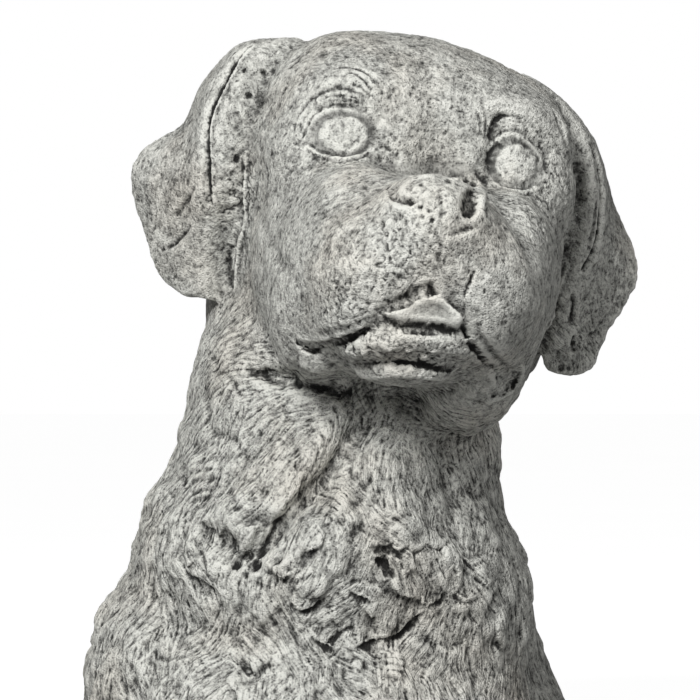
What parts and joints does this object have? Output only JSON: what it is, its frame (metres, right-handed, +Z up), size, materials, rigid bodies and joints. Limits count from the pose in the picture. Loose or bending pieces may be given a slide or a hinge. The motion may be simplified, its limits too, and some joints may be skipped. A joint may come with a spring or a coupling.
{
  "type": "dog figurine",
  "caption": "Bust of a young Labrador cast in grey stone: head raised and turned, ears hanging, mouth a little open, tufted chest, cut flat to stand.",
  "frame": {"origin": "middle of the flat underside, under the middle of the bust's box", "axes": "+Z up, the chest faces -Y, +X towards the dog's left"},
  "size_m": [0.2032, 0.2612, 0.2497],
  "materials": {
    "cast_stone": "weathered grey cast stone, dry and matt, with dark crevices"
  },
  "bodies": {
    "root": {"dog_bust": "cast_stone"}
  },
  "joints": []
}
